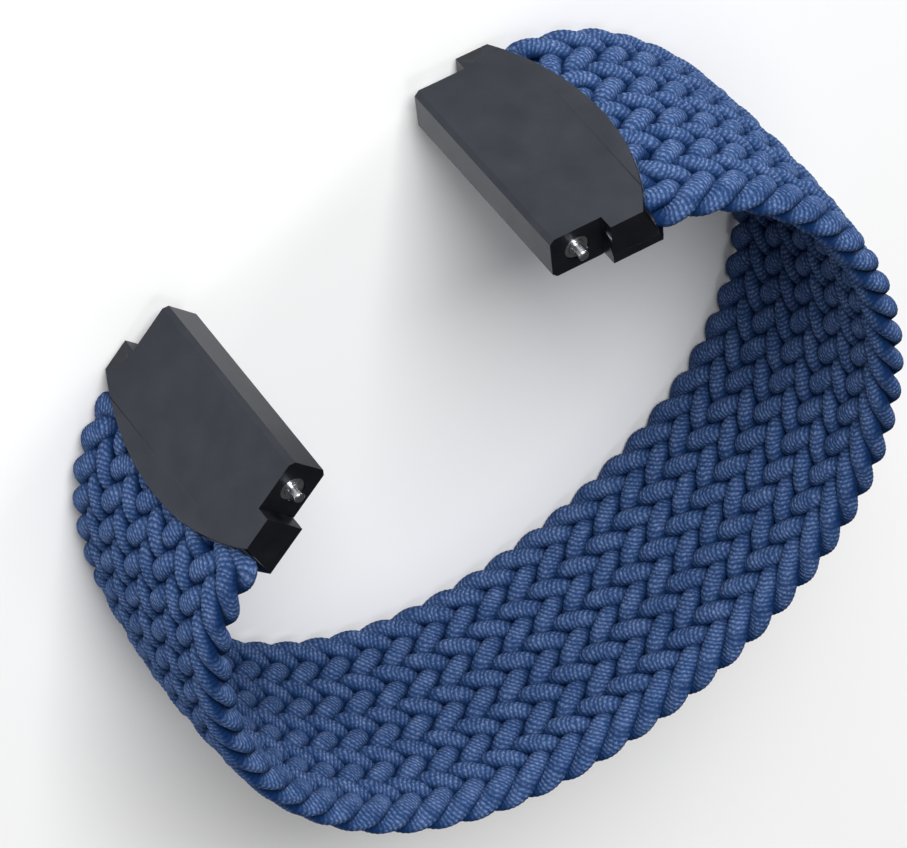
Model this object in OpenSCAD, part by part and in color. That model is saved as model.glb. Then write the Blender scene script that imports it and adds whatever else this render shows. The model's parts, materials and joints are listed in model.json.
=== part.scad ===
// Braided stretch band for a round fitness tracker.
// The band lies on one edge: Z runs across its width, X across the tracker,
// and -Y points out of the tracker's face. The origin is the middle of the
// footprint. One half is drawn at +X, and the left one is its mirror image.

/* [Band] */
// Width of the braid
band_w = 20; // [17:0.5:26]
// Thickness of the braid
band_t = 2.4; // [2:0.1:2.8]

/* [Loop] */
// Diameter of the round tracker case that the two ends seat against
case_d = 40; // [36:0.5:50]
// Turn of half the flat stretch opposite the case, in degrees
base_sweep = 18; // [14:1:22]
// Radius of the corner beside the flat stretch
corner_r = 23.5; // [19:0.5:29]
// Turn of the corner, in degrees
corner_sweep = 50; // [44:1:54]
// Radius of the long side
side_r = 28; // [22:0.5:35]
// Turn of the long side, in degrees
side_sweep = 50; // [44:1:54]
// Radius of the shoulder that leads in to the case
shoulder_r = 13; // [10:0.5:16]
// Turn of the shoulder, in degrees
shoulder_sweep = 40; // [36:1:46]

/* [Flex line] */
// Gap between the round end and its hollow where the loop flexes
flex_gap = 0.3; // [0.2:0.05:0.5]

/* [End fitting] */
// Gap between the case wall and the fitting
seat_gap = 0.15; // [0.05:0.05:0.3]
// Thickness of the fitting
fitting_t = 3.4; // [3.2:0.1:4]
// How far the collar reaches past the end of the loop's line
collar_l = 3.4; // [3:0.1:4.5]
// Wall of the collar at each edge of the band
collar_wall = 0.8; // [0.6:0.1:1.2]
// How deep the braid sits in the collar's mouth
mouth_depth = 1.2; // [0.8:0.1:1.4]
// Clearance round the braid in the mouth
mouth_gap = 0.05; // [0:0.01:0.1]
// Thickness of the inner cover's floor
floor_t = 0.7; // [0.6:0.05:0.9]
// Bevel on the fitting's outer edges
fitting_bevel = 0.35; // [0.2:0.05:0.5]

/* [Clamp] */
// Thickness of the heat-sealed end of the braid
tab_t = 1.2; // [1:0.05:1.3]
// Width that the collar leaves at each edge of the sealed end
tab_inset = 2; // [1.6:0.1:3]
// Number of teeth on the clamp plate
tooth_count = 4; // [3:1:6]
// Height of a clamp tooth
tooth_h = 0.2; // [0.1:0.05:0.3]
// Radius of a clamp screw's shank
screw_r = 0.45; // [0.4:0.05:0.6]
// Radius of a clamp screw's head
screw_head_r = 0.95; // [0.85:0.05:1.1]
// Thickness of a clamp screw's head
screw_head_t = 0.35; // [0.3:0.05:0.4]
// Distance between the two clamp screws
screw_spacing = 9; // [7:0.5:10]

/* [Spring bar] */
// Length of the rail that carries the spring bar
rail_l = 4; // [3.8:0.1:5]
// Width between the case's two lug faces
lug_w = 18; // [15:0.5:19]
// Gap between the rail and each lug face
lug_gap = 0.2; // [0.1:0.05:0.3]
// Outer radius of the spring bar's tube
bar_r = 0.9; // [0.85:0.05:1]
// Wall of the tube
bar_wall = 0.2; // [0.15:0.05:0.25]
// Radius of the tips that seat in the case
tip_r = 0.4; // [0.35:0.05:0.45]
// How far each tip stands out of the rail
tip_reach = 1; // [0.7:0.05:1.1]
// Travel of the sliding tip
tip_travel = 1.2; // [1.1:0.05:1.6]
// Running clearance round the tube and the sliding tip
run_gap = 0.03; // [0.02:0.01:0.06]
// Length of the piston behind the sliding tip
piston_l = 4; // [3.5:0.1:5]
// Length of the plug behind the fixed tip
plug_l = 2; // [1.5:0.1:3]
// Lip that keeps the piston in the tube
lip_l = 0.35; // [0.3:0.05:0.5]
// How far the piston's edge stands out past its neck
lip_catch = 0.1; // [0.08:0.01:0.12]
// Distance from the rail's upper end to the release knob
knob_inset = 3.2; // [3:0.1:3.8]
// Radius of the knob's post
knob_post_r = 0.32; // [0.28:0.02:0.34]
// Radius of the knob's head
knob_r = 0.85; // [0.7:0.05:1]
// Thickness of the knob's head
knob_t = 0.6; // [0.4:0.05:0.8]
// Turns in the bar's spring
spring_turns = 11; // [8:1:14]
// Radius of the spring's wire
spring_wire_r = 0.08; // [0.05:0.01:0.1]

/* [Hidden] */
$fn = 96;
eps = 0.01;
far = 60;  // longer than any cut that has to run right through

braid_navy = [0.13, 0.22, 0.42];
sealed_navy = [0.08, 0.13, 0.27];
graphite = [0.25, 0.26, 0.28];
steel = [0.72, 0.73, 0.75];

case_r = case_d / 2;
half_w = band_w / 2;
half_t = band_t / 2;

// The loop's middle line: heading, in degrees, at the start of each arc. The
// line starts opposite the case, runs along +X and turns towards the case.
head_1 = base_sweep;
head_2 = head_1 + corner_sweep;
head_3 = head_2 + side_sweep;
head_end = head_3 + shoulder_sweep;
horn_x = sqrt(case_r * case_r - half_w * half_w);

function run(r, a, b) = r * (sin(b) - sin(a));   // along X from heading a to b
function rise(r, a, b) = r * (cos(a) - cos(b));  // towards the case

// The stretch opposite the case takes the radius that closes the loop on it.
base_r = (horn_x - run(corner_r, head_1, head_2) - run(side_r, head_2, head_3)
    - run(shoulder_r, head_3, head_end)) / sin(base_sweep);

// Point on the middle line where it has the heading a: [along X, rise].
function line_at(a) =
    a <= head_1 ? [run(base_r, 0, a), rise(base_r, 0, a)] :
    a <= head_2 ? line_at(head_1) + [run(corner_r, head_1, a), rise(corner_r, head_1, a)] :
    a <= head_3 ? line_at(head_2) + [run(side_r, head_2, a), rise(side_r, head_2, a)] :
    line_at(head_3) + [run(shoulder_r, head_3, a), rise(shoulder_r, head_3, a)];

rise_end = line_at(head_end)[1];

// The footprint runs from the braid's outer face to the fitting's front corner.
fitting_l = collar_l + rail_l;
front_rise = rise_end + (fitting_l - fitting_bevel) * sin(head_end)
    - fitting_t / 2 * cos(head_end);
base_y = (front_rise - half_t) / 2;

rail_w = lug_w - 2 * lug_gap;
rail_z = (band_w - rail_w) / 2;
bar_x = collar_l + rail_l / 2;
bore_r = bar_r + run_gap;
tube_r = bar_r - bar_wall;
piston_r = tube_r - run_gap;
neck_r = piston_r - lip_catch;
tube_end_gap = 0.1;
tube_z = rail_z + tube_end_gap;
tube_l = rail_w - 2 * tube_end_gap;
knob_z = rail_z + rail_w - knob_inset;
piston_z = tube_z + tube_l - lip_l - piston_l;
spring_z = tube_z + plug_l + lip_l;
end_wall = 0.6;
tab_l = collar_l - end_wall;
tab_w = band_w - 2 * tab_inset;
plate_t = fitting_t / 2 - floor_t - tab_t / 2;
screw_tip_gap = 0.35;

// Outline that follows the middle line at +X from heading a0 to its end and
// straight on for a tail, between two distances outward from the line.
module along_line(a0, y0, y1, tail) {
    step = 2;
    headings = concat([for (a = [a0 : step : head_end - eps]) a], [head_end]);
    last = len(headings) - 1;
    function point_at(a, off, on) =
        let (p = line_at(a)) [p[0] + off * sin(a) + on * cos(a), base_y - p[1] + off * cos(a) - on * sin(a)];
    polygon(concat(
        [for (a = headings) point_at(a, y1, 0)],
        tail > 0 ? [point_at(head_end, y1, tail), point_at(head_end, y0, tail)] : [],
        [for (i = [last : -1 : 0]) point_at(headings[i], y0, 0)]
    ));
}

// A rod along the case's axis, which is Y, over the depth of the fittings.
module case_rod(r) {
    translate([0, base_y - rise_end + 8, half_w])
        rotate([90, 0, 0])
            cylinder(r = r, h = far);
}

// Places children on the end of the loop's line: X onward, Y outward.
module at_end() {
    translate([horn_x, base_y - rise_end, 0])
        rotate([0, 0, -head_end])
            children();
}

module on_side(side) {
    mirror([side < 0 ? 1 : 0, 0, 0])
        children();
}

// The ring just inside the case's wall that the collar's mouth takes up.
module mouth_ring(depth) {
    difference() {
        case_rod(case_r + eps);
        case_rod(case_r - depth);
    }
}

// The half loop with its end shaped to the case and necked into the collar.
module half_loop() {
    neck_inset = collar_wall + mouth_gap;
    difference() {
        linear_extrude(height = band_w)
            along_line(0, -half_t, half_t, 0);
        case_rod(case_r);
    }
    intersection() {
        mouth_ring(mouth_depth);
        translate([0, 0, neck_inset])
            linear_extrude(height = band_w - 2 * neck_inset)
                along_line(head_3, -half_t, half_t, mouth_depth);
    }
}

module left_half_braid() {
    color(braid_navy)
        difference() {
            on_side(-1)
                half_loop();
            translate([0, base_y, -eps])
                cylinder(r = half_t + flex_gap, h = band_w + 2 * eps);
        }
}

module right_half_braid() {
    color(braid_navy)
        union() {
            half_loop();
            translate([0, base_y, 0])
                cylinder(r = half_t, h = band_w);
        }
}

// Ridges that run across the band on the clamp plate's biting face.
module teeth() {
    pitch = tab_l / tooth_count;
    end_gap = 0.3;
    for (i = [0 : tooth_count - 1])
        translate([pitch * (i + 0.5), -tab_t / 2, tab_inset + end_gap])
            linear_extrude(height = tab_w - 2 * end_gap)
                polygon([[-tooth_h, -eps], [tooth_h, -eps], [0, tooth_h]]);
}

// Copies a child, drawn outward from y, onto both screw axes.
module at_screws(y) {
    for (s = [-1, 1])
        translate([tab_l / 2, y, half_w + s * screw_spacing / 2])
            rotate([-90, 0, 0])
                children();
}

module sealed_end(side) {
    color(sealed_navy)
        on_side(side)
            difference() {
                intersection() {
                    case_rod(case_r - mouth_depth);
                    translate([0, 0, tab_inset])
                        linear_extrude(height = tab_w)
                            along_line(head_3, -tab_t / 2, tab_t / 2, tab_l);
                }
                at_end() {
                    teeth();
                    at_screws(-tab_t)
                        cylinder(r = screw_r + mouth_gap, h = 2 * tab_t);
                }
            }
}

module clamp_plate(side) {
    color(steel)
        on_side(side)
            intersection() {
                case_rod(case_r - mouth_depth - mouth_gap);
                at_end()
                    difference() {
                        union() {
                            translate([0, -tab_t / 2 - plate_t, tab_inset])
                                cube([tab_l, plate_t, tab_w]);
                            teeth();
                        }
                        at_screws(-fitting_t)
                            cylinder(r = screw_r + mouth_gap, h = 2 * fitting_t);
                    }
            }
}

// The mouth that takes the braid's neck, open towards the band.
module mouth() {
    intersection() {
        mouth_ring(mouth_depth + mouth_gap);
        translate([0, 0, collar_wall])
            linear_extrude(height = band_w - 2 * collar_wall)
                along_line(head_3, -half_t - mouth_gap, half_t + mouth_gap, 2 * mouth_depth);
    }
}

// The rail's outline with its far edges bevelled, and a foot under the collar.
module rail_outline() {
    front = fitting_t / 2;
    polygon([
        [collar_l, -front], [fitting_l - fitting_bevel, -front],
        [fitting_l, -front + fitting_bevel], [fitting_l, front - fitting_bevel],
        [fitting_l - fitting_bevel, front], [tab_l, front],
        [tab_l, -front + floor_t], [collar_l, -front + floor_t]
    ]);
}

module outer_cover(side) {
    color(graphite)
        on_side(side)
            difference() {
                intersection() {
                    case_rod(case_r - seat_gap);
                    union() {
                        linear_extrude(height = band_w)
                            along_line(head_3, -fitting_t / 2 + floor_t, fitting_t / 2, collar_l);
                        at_end()
                            translate([0, 0, rail_z])
                                linear_extrude(height = rail_w)
                                    rail_outline();
                    }
                }
                mouth();
                translate([0, 0, tab_inset])
                    linear_extrude(height = tab_w)
                        along_line(head_3, -fitting_t, tab_t / 2, tab_l);
                at_end() {
                    translate([bar_x, 0, -eps])
                        cylinder(r = bore_r, h = band_w + 2 * eps);
                    at_screws(0)
                        cylinder(r = screw_r, h = fitting_t / 2 - screw_tip_gap);
                    knob_slot(fitting_t);
                }
            }
}

module inner_cover(side) {
    color(graphite)
        on_side(side)
            difference() {
                intersection() {
                    case_rod(case_r - seat_gap);
                    linear_extrude(height = band_w)
                        along_line(head_3, -fitting_t / 2, -fitting_t / 2 + floor_t, collar_l - run_gap);
                }
                mouth();
                at_end() {
                    at_screws(-fitting_t)
                        cylinder(r = screw_r + mouth_gap, h = 2 * fitting_t);
                    at_screws(-fitting_t / 2 - eps)
                        cylinder(r = screw_head_r + mouth_gap, h = screw_head_t + eps);
                }
            }
}

module clamp_screws(side) {
    slot_w = 0.22;
    slot_depth = 0.15;
    color(steel)
        on_side(side)
            at_end()
                at_screws(-fitting_t / 2)
                    difference() {
                        union() {
                            cylinder(r = screw_head_r, h = screw_head_t);
                            cylinder(r = screw_r, h = fitting_t - screw_tip_gap);
                        }
                        translate([-screw_head_r, -slot_w / 2, -eps])
                            cube([2 * screw_head_r, slot_w, slot_depth + eps]);
                    }
}

// The slot that the knob's post runs in, cut from the bar out to the skin side.
module knob_slot(depth) {
    w = knob_post_r + run_gap;
    translate([bar_x, 0, knob_z])
        rotate([90, 0, 0])
            union() {
                cylinder(r = w, h = depth);
                translate([0, -tip_travel - 2 * run_gap, 0])
                    cylinder(r = w, h = depth);
                translate([-w, -tip_travel - 2 * run_gap, 0])
                    cube([2 * w, tip_travel + 2 * run_gap, depth]);
            }
}

module bar_tube(side) {
    color(steel)
        on_side(side)
            at_end()
                difference() {
                    translate([bar_x, 0, tube_z])
                        cylinder(r = bar_r, h = tube_l);
                    translate([bar_x, 0, tube_z + lip_l])
                        cylinder(r = tube_r, h = tube_l - 2 * lip_l);
                    translate([bar_x, 0, 0])
                        cylinder(r = neck_r + run_gap, h = band_w);
                    knob_slot(2 * bar_r);
                }
}

// A tip with a neck in the tube's lip, and behind it the piece the tube holds.
module tip(inner_r, inner_l) {
    tip_bevel = 0.1;
    neck_l = tube_end_gap + lip_l;
    cylinder(r = inner_r, h = inner_l);
    cylinder(r = neck_r, h = inner_l + neck_l);
    translate([0, 0, inner_l + neck_l])
        rotate_extrude()
            polygon([
                [0, 0], [tip_r, 0], [tip_r, tip_reach - tip_bevel],
                [tip_r - tip_bevel, tip_reach], [0, tip_reach]
            ]);
}

module fixed_tip(side) {
    color(steel)
        on_side(side)
            at_end()
                translate([bar_x, 0, tube_z + lip_l + plug_l])
                    rotate([180, 0, 0])
                        tip(tube_r, plug_l);
}

module sliding_tip(side) {
    color(steel)
        on_side(side)
            at_end()
                difference() {
                    translate([bar_x, 0, piston_z])
                        tip(piston_r, piston_l);
                    translate([bar_x, 0, knob_z])
                        rotate([90, 0, 0])
                            cylinder(r = knob_post_r, h = bar_r);
                }
}

module release_knob(side) {
    head_y = -fitting_t / 2 - 2 * run_gap;
    grip_depth = 0.12;
    color(graphite)
        on_side(side)
            at_end()
                translate([bar_x, 0, knob_z])
                    rotate([90, 0, 0])
                        difference() {
                            union() {
                                cylinder(r = knob_post_r, h = -head_y + eps);
                                translate([0, 0, -head_y])
                                    cylinder(r = knob_r, h = knob_t);
                            }
                            for (i = [-1 : 1])
                                translate([-knob_r, i * knob_r / 2 - grip_depth / 2, knob_t - head_y - grip_depth])
                                    cube([2 * knob_r, grip_depth, 2 * grip_depth]);
                        }
}

// A helix of round wire, as rings of points joined into one closed skin.
module coil(radius, wire_r, height, turns) {
    sides = 6;
    steps_per_turn = 10;
    steps = turns * steps_per_turn;
    ring = [for (k = [0 : sides - 1]) [cos(360 * k / sides), sin(360 * k / sides)] * wire_r];
    points = [
        for (i = [0 : steps], p = ring)
            let (a = 360 * i / steps_per_turn)
                [(radius + p[0]) * cos(a), (radius + p[0]) * sin(a), wire_r + p[1] + (height - 2 * wire_r) * i / steps]
    ];
    walls = [
        for (i = [0 : steps - 1], k = [0 : sides - 1])
            let (a = i * sides + k, b = i * sides + (k + 1) % sides)
                [a, a + sides, b + sides, b]
    ];
    first_cap = [for (k = [0 : sides - 1]) k];
    last_cap = [for (k = [sides - 1 : -1 : 0]) steps * sides + k];
    polyhedron(points = points, faces = concat([first_cap, last_cap], walls));
}

module bar_spring(side) {
    coil_gap = 0.04;
    color(steel)
        on_side(side)
            at_end()
                translate([bar_x, 0, spring_z])
                    coil(tube_r - spring_wire_r - coil_gap, spring_wire_r, piston_z - spring_z, spring_turns);
}

left_half_braid();  // left_braid
sealed_end(-1);  // left_sealed_end
outer_cover(-1);  // left_outer_cover
inner_cover(-1);  // left_inner_cover
clamp_plate(-1);  // left_clamp_plate
clamp_screws(-1);  // left_clamp_screws
bar_tube(-1);  // left_bar_tube
fixed_tip(-1);  // left_fixed_tip
sliding_tip(-1);  // left_sliding_tip
release_knob(-1);  // left_release_knob
bar_spring(-1);  // left_bar_spring
right_half_braid();  // right_braid
sealed_end(1);  // right_sealed_end
outer_cover(1);  // right_outer_cover
inner_cover(1);  // right_inner_cover
clamp_plate(1);  // right_clamp_plate
clamp_screws(1);  // right_clamp_screws
bar_tube(1);  // right_bar_tube
fixed_tip(1);  // right_fixed_tip
sliding_tip(1);  // right_sliding_tip
release_knob(1);  // right_release_knob
bar_spring(1);  // right_bar_spring
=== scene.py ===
import json
import math
import bpy
import numpy as np
from mathutils import Matrix, Vector


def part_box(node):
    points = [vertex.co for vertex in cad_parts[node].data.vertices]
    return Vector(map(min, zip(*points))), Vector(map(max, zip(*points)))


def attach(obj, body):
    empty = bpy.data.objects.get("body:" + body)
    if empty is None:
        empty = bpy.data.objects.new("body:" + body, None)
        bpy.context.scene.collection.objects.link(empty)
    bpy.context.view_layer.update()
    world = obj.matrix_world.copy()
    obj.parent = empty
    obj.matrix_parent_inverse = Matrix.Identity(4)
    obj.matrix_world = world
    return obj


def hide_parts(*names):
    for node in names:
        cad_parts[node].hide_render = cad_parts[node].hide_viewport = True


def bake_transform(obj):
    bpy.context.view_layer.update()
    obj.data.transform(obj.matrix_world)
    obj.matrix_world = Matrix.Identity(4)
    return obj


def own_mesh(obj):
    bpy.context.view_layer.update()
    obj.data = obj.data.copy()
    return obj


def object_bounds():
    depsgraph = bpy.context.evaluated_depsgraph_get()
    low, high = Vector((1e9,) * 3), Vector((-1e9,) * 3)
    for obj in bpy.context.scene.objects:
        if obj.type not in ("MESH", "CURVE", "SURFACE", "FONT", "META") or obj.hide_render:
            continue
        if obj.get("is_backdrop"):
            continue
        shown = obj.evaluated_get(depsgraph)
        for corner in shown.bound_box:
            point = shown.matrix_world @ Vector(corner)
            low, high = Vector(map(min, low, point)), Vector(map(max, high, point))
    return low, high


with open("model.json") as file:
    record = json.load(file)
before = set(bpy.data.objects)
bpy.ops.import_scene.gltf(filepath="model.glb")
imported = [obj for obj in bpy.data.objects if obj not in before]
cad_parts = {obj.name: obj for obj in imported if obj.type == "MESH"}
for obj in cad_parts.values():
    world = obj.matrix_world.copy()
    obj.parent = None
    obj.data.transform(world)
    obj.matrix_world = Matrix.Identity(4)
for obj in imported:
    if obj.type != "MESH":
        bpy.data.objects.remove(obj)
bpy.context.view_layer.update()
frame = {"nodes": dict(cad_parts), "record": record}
nodes = frame["nodes"]
mm = 0.001
print("frame loaded:", len(nodes), "nodes")


view = {
    "azimuth": -0.135,  # degrees, 0 looks along +Y
    "elevation": 38.07,
    "roll": 139.67,
    "distance": 0.34193,
    "aim": (0.001476, -0.002243, 0.007141),
    "lens": 191.56,
}


def addCamera(v):
    # back points from the aim to the camera; right and up are turned about it by the roll
    a, e, roll = (math.radians(v[k]) for k in ("azimuth", "elevation", "roll"))
    back = Vector((math.sin(a) * math.cos(e), -math.cos(a) * math.cos(e), math.sin(e)))
    level = Vector((math.cos(a), math.sin(a), 0))
    upright = back.cross(level)
    right = level * math.cos(roll) + upright * math.sin(roll)
    up = upright * math.cos(roll) - level * math.sin(roll)
    camera = bpy.data.objects.new("camera", bpy.data.cameras.new("camera"))
    bpy.context.collection.objects.link(camera)
    turn = Matrix((right, up, back)).transposed().to_4x4()
    camera.matrix_world = Matrix.Translation(Vector(v["aim"]) + back * v["distance"]) @ turn
    camera.data.lens = v["lens"]
    camera.data.clip_start, camera.data.clip_end = 0.01, 10
    bpy.context.scene.camera = camera


addCamera(view)


class Wire:
    # one output socket; arithmetic on it adds Math nodes
    def __init__(self, net, socket):
        self.net, self.socket = net, socket

    def calc(self, operation, *others):
        sockets = dict(enumerate((self, *others)))
        return self.net.node("ShaderNodeMath", {"operation": operation}, sockets)

    def __add__(self, other):
        return self.calc("ADD", other)

    def __sub__(self, other):
        return self.calc("SUBTRACT", other)

    def __mul__(self, other):
        return self.calc("MULTIPLY", other)

    __radd__ = __add__

    def cosine(self):
        return self.calc("COSINE")

    def part(self, name):
        return Wire(self.net, self.socket.node.outputs[name])


class Finish:
    # one material; node() adds a node from its type, its settings and its sockets' values or links
    def __init__(self, name):
        self.material = bpy.data.materials.new(name)
        self.material.use_nodes = True
        self.tree = self.material.node_tree
        self.tree.nodes.clear()

    def node(self, kind, settings=None, sockets=None):
        made = self.tree.nodes.new(kind)
        for name, value in (settings or {}).items():
            if name == "stops":
                ramp = made.color_ramp.elements
                while len(ramp) < len(value):
                    ramp.new(0.5)
                for stop, (place, shade) in zip(ramp, value):
                    stop.position, stop.color = place, (*shade, 1)
            else:
                setattr(made, name, value)
        for name, value in (sockets or {}).items():
            if isinstance(value, Wire):
                self.tree.links.new(value.socket, made.inputs[name])
            else:
                made.inputs[name].default_value = value
        return Wire(self, made.outputs[0]) if made.outputs else None

    def mix(self, amount, first, second):
        made = self.node("ShaderNodeMix", {"data_type": "RGBA"}, {0: amount})
        for index, value in ((6, first), (7, second)):
            target = made.socket.node.inputs[index]
            if isinstance(value, Wire):
                self.tree.links.new(value.socket, target)
            else:
                target.default_value = (*value, 1)
        return Wire(self, made.socket.node.outputs[2])

    def noise(self, where, scale, detail=2.0):
        return self.node("ShaderNodeTexNoise", None, {
            "Vector": where, "Scale": scale, "Detail": detail})

    def bump(self, strength, depth, height):
        return self.node("ShaderNodeBump", None, {
            "Strength": strength, "Distance": depth, "Height": height})

    def close(self, **sockets):
        shader = self.node("ShaderNodeBsdfPrincipled", None, {
            name.replace("_", " "): value for name, value in sockets.items()})
        self.node("ShaderNodeOutputMaterial", None, {"Surface": shader})
        return self.material


loop = {
    "thickness": 2.4 * mm,
    "caseRadius": 20 * mm,
    "sweeps": (18, 50, 50, 40),  # degrees turned by each arc from the base to the case
    "radii": (23.5 * mm, 28 * mm, 13 * mm),  # of the last three arcs; the base arc closes the loop
}
braid = {
    "cords": 21,
    "pitch": 2.803 * mm,  # length of band that one edge scallop takes
    "baseStep": 31.006,  # crossing step that falls at the base's middle
    "edgeInset": 0.58 * mm,  # from the band's edge to an outermost cord's middle line
    "swing": 0.6 * mm,  # a cord's middle line out of the band's middle surface
    "flatTop": 0.1,
    "crown": (0.8 * mm, 0.6 * mm),  # bulge of the band's middle line on its two long sides
    "crownRise": (4 * mm, 38 * mm),  # stretch from the base's middle where the bulge grows
    "crownFall": (44 * mm, 58 * mm),  # and where it fades
    "slip": (0.25 * mm, 0.35 * mm),  # how far the weave is pulled towards the case at its two ends
    "slipRise": (34 * mm, 58 * mm),
    "halfThick": 0.62 * mm,
    "floatHalf": 0.84 * mm,  # half width where a cord lies on top
    "diveHalf": 0.83 * mm,  # and where it dives
    "edgeHalf": 1.0 * mm,  # and where it turns at an edge
    "seat": 18.9 * mm,  # radius about the case's axis where the cords stop in the collar
    "neck": 0.115,  # share of the width that the collar's mouth takes in
    "neckReach": 1.1 * mm,
    "neckEnd": 0.7 * mm,  # beyond the seat, where the neck is at its narrowest
}
cord = {
    "sides": 16,
    "ringStep": 0.066 * mm,
    "ribPitch": 0.3 * mm,
    "ribDepth": 0.036 * mm,
    "waves": 2,  # chevrons of a rib round the cord
    "waveShare": 0.38,  # of a rib's pitch
    "ribShift": 7.3,  # ribs by which one cord's pattern is moved on from the last one's
    "edgeShadeRelief": 0.92,  # how proud a cord counts where it turns at an edge, which keeps the painted shade off the edge turns
    "samples": 12001,  # of the middle line, to measure its length
    "endSamples": 20001,  # of the middle line, to find where it meets the seat
}

lowest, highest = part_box("right_braid")
bandWidth = highest.z - lowest.z
baseY = highest.y - loop["thickness"] / 2
headings = np.radians(np.cumsum((0, *loop["sweeps"])))
hornX = math.sqrt(loop["caseRadius"] ** 2 - (bandWidth / 2) ** 2)


def arcRun(radius, first, last):
    # Run along X of an arc between two headings.
    return radius * (np.sin(last) - np.sin(first))


def arcRise(radius, first, last):
    # Rise towards the case of an arc between two headings.
    return radius * (np.cos(first) - np.cos(last))


laterRuns = sum(arcRun(r, headings[i + 1], headings[i + 2]) for i, r in enumerate(loop["radii"]))
arcRadii = np.array([(hornX - laterRuns) / math.sin(headings[1]), *loop["radii"]])
arcStarts = np.concatenate(([0], np.cumsum(arcRadii * np.diff(headings))))
arcX = np.concatenate(([0], np.cumsum(arcRun(arcRadii, headings[:-1], headings[1:]))))
arcY = np.concatenate(([0], np.cumsum(arcRise(arcRadii, headings[:-1], headings[1:]))))


def onLoop(along):
    # Middle line of the loop at a signed distance from the base's middle: four tangent arcs
    # chained on each side, then a straight tail. Gives the points and the outward normals.
    side, far = np.where(along < 0, -1.0, 1.0), np.abs(along)
    arc = np.clip(np.searchsorted(arcStarts, far, "right") - 1, 0, 3)
    held = np.minimum(far, arcStarts[-1])
    heading = headings[arc] + (held - arcStarts[arc]) / arcRadii[arc]
    tail = far - held
    x = arcX[arc] + arcRun(arcRadii[arc], headings[arc], heading) + tail * np.cos(heading)
    rise = arcY[arc] + arcRise(arcRadii[arc], headings[arc], heading) + tail * np.sin(heading)
    point = np.stack((side * x, baseY - rise, np.zeros_like(x)), 1)
    outward = np.stack((side * np.sin(heading), np.cos(heading), np.zeros_like(x)), 1)
    return point, outward


def acrossAt(turn):
    # Place across the band in cord widths: a zigzag that climbs one place a step and waits one
    # step at each edge, with its corners rounded to parabolas one step to each side.
    cords = braid["cords"]
    last = cords - 1
    fromTop = np.abs((turn - last - 0.5 + cords) % (2 * cords) - cords)
    fromFoot = cords - fromTop
    straight = last + 0.5 - fromTop
    climb = np.where(fromFoot < 1, fromFoot ** 2 / 2, straight)
    return np.where(fromTop < 1, last - fromTop ** 2 / 2, climb)


def overAt(turn):
    # Over (1) or under (-1): a sine that passes two crossings on each side of the band in turn,
    # stretched over three steps where the cord goes round an edge, with its crests flattened.
    last, lap = braid["cords"] - 1, 2 * braid["cords"]
    knots = np.array([1, last - 1, last + 2, lap - 2, lap + 1])
    phases = np.array([1, last - 1, last + 1, lap - 3, lap - 1]) * np.pi / 2
    phase = np.interp((turn - 1) % lap + 1, knots, phases)
    flat = braid["flatTop"]
    return (np.sin(phase) + flat * np.sin(3 * phase)) / (1 - flat)


def ease(value, first, last):
    # Smooth step from 0 at first to 1 at last.
    share = np.clip((value - first) / (last - first), 0, 1)
    return share * share * (3 - 2 * share)


def crownAt(along, z):
    # Bulge of the band's middle surface: nothing at the edges, the base and the fittings, and a
    # parabola across the width that is highest on the two long sides.
    peak = np.where(along > 0, *braid["crown"])
    far = np.abs(along)
    rise = ease(far, *braid["crownRise"]) * (1 - ease(far, *braid["crownFall"]))
    offset = 2 * z / bandWidth - 1
    return peak * rise * (1 - offset ** 2)


def cordLine(number, step):
    # Middle line of one cord over the crossing steps, the band's normal, its lie over or under
    # and how near it is to an edge turn.
    cords = braid["cords"]
    turn = (step - 2 * number) % (2 * cords)
    along = (step - braid["baseStep"]) * braid["pitch"] / 2
    pull = np.where(along > 0, *braid["slip"]) * ease(np.abs(along), *braid["slipRise"])
    along = along + np.sign(along) * pull
    point, outward = onLoop(along)
    over = overAt(turn)
    inset = braid["edgeInset"]
    z = inset + acrossAt(turn) * (bandWidth - 2 * inset) / (cords - 1)
    reach = np.hypot(point[:, 0], z - bandWidth / 2)
    stop = braid["seat"] + braid["neckEnd"]
    pinch = ease(-reach, -stop - braid["neckReach"], -stop) * (np.abs(along) > arcStarts[2])
    z = bandWidth / 2 + (z - bandWidth / 2) * (1 - braid["neck"] * pinch)
    point = point + outward * (over * braid["swing"] + crownAt(along, z))[:, None]
    point[:, 2] = z
    fromEdge = np.abs((turn - cords + 0.5 + cords / 2) % cords - cords / 2)
    return point, outward, over, np.exp(-fromEdge ** 2)


def cordRange(number):
    # Steps between the two places where the cord meets the seat's cylinder.
    longest = (arcStarts[-1] + 2 * mm) * 2 / braid["pitch"]
    base = braid["baseStep"]
    step = np.linspace(base - longest, base + longest, cord["endSamples"])
    point = cordLine(number, step)[0]
    reach = np.hypot(point[:, 0], point[:, 2] - bandWidth / 2)
    side = np.abs(step - base) * braid["pitch"] / 2 > arcStarts[2]
    stopped = side & (reach < braid["seat"])
    middle = len(step) // 2
    first = np.nonzero(stopped[:middle])[0].max()
    last = middle + np.nonzero(stopped[middle:])[0].min()
    return step[first], step[last]


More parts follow.
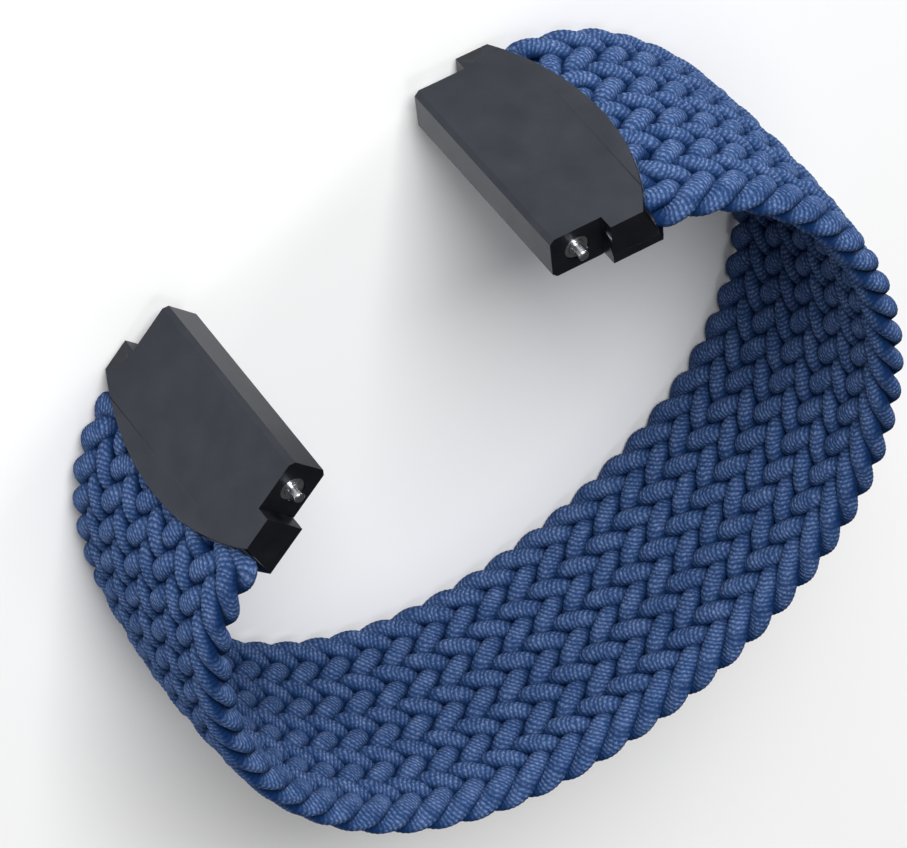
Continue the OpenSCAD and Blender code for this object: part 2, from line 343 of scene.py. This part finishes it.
def makeCord(number):
    # A ribbed oval carried along the cord's middle line: point = line + across * halfWidth * cos a
    # + out * halfThick * sin a, with both halves less ribDepth * (1 - cos(rib phase)) / 2. Its
    # shade relief, its distance from the band's middle surface as a share of the farthest, masks
    # the painted shade between the cords.
    first, last = cordRange(number)
    fine = np.linspace(first, last, cord["samples"])
    line = cordLine(number, fine)[0]
    lengths = np.concatenate(([0], np.cumsum(np.linalg.norm(np.diff(line, axis=0), axis=1))))
    rings = int(lengths[-1] / cord["ringStep"])
    travelled = np.linspace(0, lengths[-1], rings)
    line, outward, over, edge = cordLine(number, np.interp(travelled, lengths, fine))
    ahead = np.gradient(line, axis=0)
    ahead /= np.linalg.norm(ahead, axis=1)[:, None]
    out = outward - (outward * ahead).sum(1)[:, None] * ahead
    out /= np.linalg.norm(out, axis=1)[:, None]
    across = np.cross(out, ahead)
    halfWidth = braid["diveHalf"] + (braid["floatHalf"] - braid["diveHalf"]) * over ** 2
    halfWidth = halfWidth + (braid["edgeHalf"] - halfWidth) * edge
    sides = cord["sides"]
    angle = np.arange(sides) * 2 * np.pi / sides
    ribs = travelled / cord["ribPitch"] + cord["ribShift"] * number
    chevron = cord["waveShare"] * np.cos(cord["waves"] * angle)
    phase = 2 * np.pi * (ribs[:, None] + chevron[None])
    growth = cord["ribDepth"] * (0.5 + 0.5 * np.cos(phase))
    wide = (halfWidth[:, None] + growth - cord["ribDepth"]) * np.cos(angle)
    thick = (braid["halfThick"] + growth - cord["ribDepth"]) * np.sin(angle)
    points = line[:, None] + across[:, None] * wide[..., None] + out[:, None] * thick[..., None]
    points = np.concatenate((points.reshape(-1, 3), line[:1], line[-1:]))
    column = np.arange(sides)
    nextColumn = (column + 1) % sides
    start = (np.arange(rings - 1) * sides)[:, None]
    walls = np.stack((start + column, start + nextColumn,
                      start + sides + nextColumn, start + sides + column), 2).reshape(-1)
    low, high, lastRing = rings * sides, rings * sides + 1, (rings - 1) * sides
    lowCap = np.stack((np.full(sides, low), nextColumn, column), 1).reshape(-1)
    highCap = np.stack((np.full(sides, high), lastRing + column, lastRing + nextColumn), 1)
    highCap = highCap.reshape(-1)
    name = f"cord_{number + 1:02d}"
    mesh = bpy.data.meshes.new(name)
    corners = np.concatenate((walls, lowCap, highCap))
    quads = len(walls) // 4
    mesh.vertices.add(len(points))
    mesh.vertices.foreach_set("co", points.astype(np.float32).ravel())
    mesh.loops.add(len(corners))
    mesh.loops.foreach_set("vertex_index", corners.astype(np.int32))
    starts = np.concatenate((np.arange(quads) * 4, quads * 4 + np.arange(2 * sides) * 3))
    mesh.polygons.add(len(starts))
    mesh.polygons.foreach_set("loop_start", starts.astype(np.int32))
    mesh.polygons.foreach_set("use_smooth", np.ones(len(starts), bool))
    grid = np.empty((rings, sides + 1, 2))
    grid[..., 0], grid[..., 1] = ribs[:, None], np.arange(sides + 1) / sides
    wallMap = np.stack((grid[:-1, :-1], grid[:-1, 1:], grid[1:, 1:], grid[1:, :-1]), 2).reshape(-1)
    capMap = np.concatenate((np.full(sides * 6, ribs[0]), np.full(sides * 6, ribs[-1])))
    mesh.uv_layers.new(name="cordMap").data.foreach_set(
        "uv", np.concatenate((wallMap, capMap)).astype(np.float32))
    # painted shade between the cords: the nearer a point lies to the band's middle surface, the
    # lower its shade relief; edge turns are lifted out of the painted shade
    depth = np.abs(over[:, None] * braid["swing"] + braid["halfThick"] * np.sin(angle))
    deepest = braid["swing"] + braid["halfThick"]
    depth = np.maximum(depth / deepest, cord["edgeShadeRelief"] * edge[:, None])
    mesh.attributes.new("relief", "FLOAT", "POINT").data.foreach_set(
        "value", np.concatenate((depth.ravel(), (0, 0))).astype(np.float32))
    mesh.update(calc_edges=True)
    mesh.validate()
    piece = bpy.data.objects.new(name, mesh)
    bpy.context.collection.objects.link(piece)
    return piece


yarn = {
    # painted shade in the rib grooves
    "grooveShade": (0.009, 0.027, 0.085),
    "body": (0.034, 0.068, 0.16),
    # painted highlight on the bead tips
    "tip": (0.132, 0.178, 0.315),
    "shade": (0.0025, 0.016, 0.062),  # painted shade down between the cords
    "stops": (0.0, 0.42, 0.95),  # brightness of the painted groove shade, the body and the painted tip highlight
    "grains": 12,  # beads round a rib
    "scales": {"drift": 1400.0, "fuzz": 7000.0, "patch": 900.0},
    "bend": 0.9,  # of a rib's pitch, by the drift and by the fuzz
    "beadDrift": 6,
    "heights": {"rib": 0.6, "bead": 0.4, "fuzz": 0.5},
    # rib and bead paint the groove shade and the tip highlights; patch and fuzz are random tone
    "lights": {"rib": 0.33, "bead": 0.35, "patch": 0.6, "fuzz": 0.6, "least": 0.12},
    "paintedShadeEnd": 0.5,  # shade relief below which a cord has the painted shade's colour
    "bumpStrength": 0.8,
    "bumpDepth": 0.06 * mm,
    "sheen": 0.01,
    "sheenRoughness": 0.5,
    "sheenTint": (0.5, 0.62, 1, 1),
    "gloss": 0.05,
    "roughness": 0.85,
}


def yarnFinish(y):
    # Ribs across the cord, set in chevrons and broken into beads, brick fashion; painted shade in
    # the grooves and in the depths between cords, painted highlights on the bead tips, random tone
    # in patches and fuzz.
    f = Finish("cordYarn")
    place = f.node("ShaderNodeUVMap", {"uv_map": "cordMap"})
    split = f.node("ShaderNodeSeparateXYZ", None, {0: place})
    along, turned = split.part("X"), split.part("Y")
    where = f.node("ShaderNodeTexCoord").part("Object")
    scales, heights, lights = y["scales"], y["heights"], y["lights"]
    drift = f.noise(where, scales["drift"], 1.0)
    rib = along + (turned * (2 * math.pi * cord["waves"])).cosine() * cord["waveShare"]
    fuzz = f.noise(where, scales["fuzz"], 4.0)
    rib = rib + (drift - 0.5) * y["bend"] + (fuzz - 0.5) * y["bend"]
    ridge = (rib * (2 * math.pi)).cosine() * 0.5 + 0.5
    row = rib.calc("ROUND")
    turns = turned * (2 * math.pi * y["grains"]) + row * math.pi + drift * y["beadDrift"]
    bead = turns.cosine() * 0.5 + 0.5
    patch = f.noise(where, scales["patch"], 3.0)
    height = ridge * (heights["rib"] + bead * heights["bead"]) + fuzz * heights["fuzz"]
    # painted groove shade and bead-tip highlights from the ribs, plus random tone from patch and
    # fuzz
    paintedLightAndTone = ridge * lights["rib"] + ridge * bead * lights["bead"]
    paintedLightAndTone = paintedLightAndTone + (patch - 0.5) * lights["patch"] + (fuzz - 0.5) * lights["fuzz"] + lights["least"]
    stops = tuple(zip(y["stops"], (y["grooveShade"], y["body"], y["tip"])))
    colour = f.node("ShaderNodeValToRGB", {"stops": stops}, {0: paintedLightAndTone})
    # painted shade between the cords: the shade colour where the shade relief is low
    relief = f.node("ShaderNodeAttribute", {"attribute_name": "relief"}).part("Fac")
    outOfShade = f.node("ShaderNodeMapRange", {"interpolation_type": "SMOOTHSTEP"}, {
        "Value": relief, "From Min": y["paintedShadeEnd"], "From Max": 1.0})
    bump = f.bump(y["bumpStrength"], y["bumpDepth"], height)
    return f.close(Base_Color=f.mix(outOfShade, y["shade"], colour), Roughness=y["roughness"],
                   Sheen_Weight=y["sheen"], Sheen_Roughness=y["sheenRoughness"],
                   Sheen_Tint=y["sheenTint"], Specular_IOR_Level=y["gloss"], Normal=bump)


cordYarn = yarnFinish(yarn)
for number in range(braid["cords"]):
    piece = makeCord(number)
    piece.data.materials.append(cordYarn)
    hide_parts("left_braid", "right_braid")
    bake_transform(piece)
print("braid made:", braid["cords"], "cords,", len(piece.data.vertices), "points in the last")


anodised = {
    "dark": (0.03, 0.032, 0.04),
    "pale": (0.065, 0.07, 0.085),
    "grainScale": 14000.0,
    "cloudScale": 400.0,
    "cloudShare": 0.7,  # of the colour; the grain has the rest
    "smoothest": 0.32,
    "roughens": 0.16,
    "bump": (0.5, 0.01 * mm),
}
steel = {
    "dark": (0.42, 0.43, 0.45),
    "pale": (0.66, 0.67, 0.69),
    "rings": {"Scale": 2600.0, "Distortion": 1.5, "Detail": 2.0},
    "wearScale": 900.0,
    "smoothest": 0.18,
    "roughens": 0.16,
    "bump": (0.3, 0.01 * mm),
}
sealed = {
    "dark": (0.008, 0.02, 0.07),
    "pale": (0.03, 0.06, 0.19),
    "runs": {"Scale": 700.0, "Distortion": 5.0, "Detail": 3.0},
    "glazeScale": 1500.0,
    "smoothest": 0.4,
    "roughens": 0.3,
    "bump": (0.6, 0.05 * mm),
}


def blastedFinish(m):
    # Fine blasted grain under a dark anodised coat, with faint cloudy patches.
    f = Finish("blastedMetal")
    where = f.node("ShaderNodeTexCoord").part("Object")
    grain = f.noise(where, m["grainScale"])
    cloud = f.noise(where, m["cloudScale"], 3.0)
    share = m["cloudShare"]
    colour = f.mix(cloud * share + grain * (1 - share), m["dark"], m["pale"])
    roughness = m["smoothest"] + cloud * m["roughens"]
    return f.close(Base_Color=colour, Metallic=1.0, Roughness=roughness,
                   Normal=f.bump(*m["bump"], grain))


def turnedFinish(m):
    # Fine turning rings along the bar, worn smoother in patches.
    f = Finish("turnedSteel")
    where = f.node("ShaderNodeTexCoord").part("Object")
    rings = f.node("ShaderNodeTexWave", {"bands_direction": "Z", "wave_profile": "SIN"}, {
        "Vector": where, **m["rings"]})
    wear = f.noise(where, m["wearScale"], 3.0)
    colour = f.mix(wear, m["dark"], m["pale"])
    roughness = m["smoothest"] + wear * m["roughens"]
    return f.close(Base_Color=colour, Metallic=1.0, Roughness=roughness,
                   Normal=f.bump(*m["bump"], rings.part("Fac")))


def sealedFinish(m):
    # Yarn melted flat: dull runs along the tab with glazed patches.
    f = Finish("sealedYarn")
    where = f.node("ShaderNodeTexCoord").part("Object")
    runs = f.node("ShaderNodeTexWave", {"bands_direction": "Z"}, {"Vector": where, **m["runs"]})
    glaze = f.noise(where, m["glazeScale"], 3.0)
    colour = f.mix(runs.part("Fac"), m["dark"], m["pale"])
    return f.close(Base_Color=colour, Roughness=m["smoothest"] + glaze * m["roughens"],
                   Normal=f.bump(*m["bump"], runs.part("Fac")))


finishes = {
    "dark_metal": blastedFinish(anodised),
    "steel": turnedFinish(steel),
    "sealed_yarn": sealedFinish(sealed),
    "woven_yarn": cordYarn,
}
softEdge = {
    "widths": {
        "cover": 0.12 * mm,
        "knob": 0.08 * mm,
        "tip": 0.04 * mm,
        "screws": 0.05 * mm,
        "plate": 0.05 * mm,
    },
    "weld": 0.01 * mm,
    "segments": 3,
    "leastAngle": 28,  # degrees between two faces above which their edge is softened
}
for part in frame["record"]["subparts"]:
    node = nodes[part["node"]]
    node.data.materials.clear()
    node.data.materials.append(finishes[part["material_slot"]])
    width = softEdge["widths"].get(part["node"].split("_")[-1])
    if width:
        weld = node.modifiers.new("weld", "WELD")
        weld.merge_threshold = softEdge["weld"]
        bevel = node.modifiers.new("softEdge", "BEVEL")
        bevel.width, bevel.segments, bevel.limit_method = width, softEdge["segments"], "ANGLE"
        bevel.angle_limit = math.radians(softEdge["leastAngle"])
print("finishes put on the fittings")

coil = {
    "turns": 11,
    "wire": 0.08 * mm,  # radius
    "sides": 10,
    "ringsPerTurn": 28,
    "travel": 1.2 * mm,  # of the sliding tip
}


def makeSpring(side):
    # A round wire on a helix: point = middle + radius * (cos t, sin t) with z rising evenly, and
    # the wire's circle in the plane of the radius and the helix's side normal.
    low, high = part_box(side + "_bar_spring")
    middle, wire = (low + high) / 2, coil["wire"]
    radius = (high.x - low.x) / 2 - wire
    share = np.linspace(0, 1, coil["turns"] * coil["ringsPerTurn"])
    t = 2 * np.pi * coil["turns"] * share
    climb = (high.z - low.z - 2 * wire) / (2 * np.pi * coil["turns"])
    out = np.stack((np.cos(t), np.sin(t), 0 * t), 1)
    ahead = np.stack((-radius * np.sin(t), radius * np.cos(t), climb + 0 * t), 1)
    ahead /= np.linalg.norm(ahead, axis=1)[:, None]
    aside = np.cross(ahead, out)
    foot = np.array((middle.x, middle.y, low.z + wire))
    line = foot + radius * out + np.outer(t * climb, (0, 0, 1))
    sides = coil["sides"]
    angle = np.arange(sides) * 2 * np.pi / sides
    ring = out[:, None] * np.cos(angle)[:, None] - aside[:, None] * np.sin(angle)[:, None]
    points = (line[:, None] + wire * ring).reshape(-1, 3)
    column = np.arange(sides)
    nextColumn = (column + 1) % sides
    start = (np.arange(len(t) - 1) * sides)[:, None]
    walls = np.stack((start + column, start + sides + column,
                      start + sides + nextColumn, start + nextColumn), 2).reshape(-1, 4)
    caps = [column.tolist(), (column[::-1] + (len(t) - 1) * sides).tolist()]
    mesh = bpy.data.meshes.new(side + "_spring")
    mesh.from_pydata(points.tolist(), [], walls.tolist() + caps)
    mesh.polygons.foreach_set("use_smooth", np.arange(len(mesh.polygons)) < len(walls))
    piece = bpy.data.objects.new(side + "_spring", mesh)
    bpy.context.collection.objects.link(piece)
    return piece, low, high


for side in ("left", "right"):
    piece, low, high = makeSpring(side)
    piece.data.materials.append(finishes["steel"])
    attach(piece, side + "_half")
    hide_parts(side + "_bar_spring")
    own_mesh(piece)
print("springs made")


studio = {
    "floor": (0.88, 0.88, 0.88),
    "floorMottle": 0.99,  # the darkest patches' share of the floor's colour
    "floorScale": 30.0,
    "floorRoughness": 0.9,
    "floorSize": 3.0,
    "skyStrength": 0.06,
    "key": {"place": (-0.4, -1.2, 0.8), "size": 0.8, "power": 34.5},
    "leftSide": {"place": (-0.7, -0.25, 0.07), "size": 0.25, "power": 5.0},
    "rightSide": {"place": (0.7, -0.25, 0.07), "size": 0.25, "power": 3.0},
    "top": {"place": (0.0, 0.0, 0.9), "size": 0.5, "power": 1.6},
}


def addFloor(size):
    # One square that the lowest point stands on, faintly mottled.
    half = size / 2
    mesh = bpy.data.meshes.new("floor")
    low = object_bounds()[0].z  # the cords' scallops stand a little proud of the band's edge
    square = ((-half, -half), (half, -half), (half, half), (-half, half))
    mesh.from_pydata([(x, y, low) for x, y in square], [], [(0, 1, 2, 3)])
    floor = bpy.data.objects.new("floor", mesh)
    bpy.context.collection.objects.link(floor)
    f = Finish("paleFloor")
    where = f.node("ShaderNodeTexCoord").part("Object")
    mottle = f.noise(where, studio["floorScale"])
    pale = studio["floor"]
    dull = tuple(studio["floorMottle"] * c for c in pale)
    floor.data.materials.append(f.close(
        Base_Color=f.mix(mottle, dull, pale), Roughness=studio["floorRoughness"]))
    floor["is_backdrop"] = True


def addLight(name, lamp, aim=(0, 0, 10 * mm)):
    # A square area light at its place, turned to face the aim.
    light = bpy.data.objects.new(name, bpy.data.lights.new(name, "AREA"))
    bpy.context.collection.objects.link(light)
    light.data.size, light.data.energy = lamp["size"], lamp["power"]
    light.location = lamp["place"]
    light.rotation_mode = "QUATERNION"
    light.rotation_quaternion = (Vector(aim) - Vector(lamp["place"])).to_track_quat("-Z", "Y")


addFloor(studio["floorSize"])
for name in ("key", "leftSide", "rightSide", "top"):
    addLight(name, studio[name])
world = bpy.data.worlds.new("studio")
bpy.context.scene.world = world
world.use_nodes = True
world.node_tree.nodes["Background"].inputs["Color"].default_value = (1, 1, 1, 1)
world.node_tree.nodes["Background"].inputs["Strength"].default_value = studio["skyStrength"]
bpy.context.scene.view_settings.view_transform = "Standard"
print("studio set")
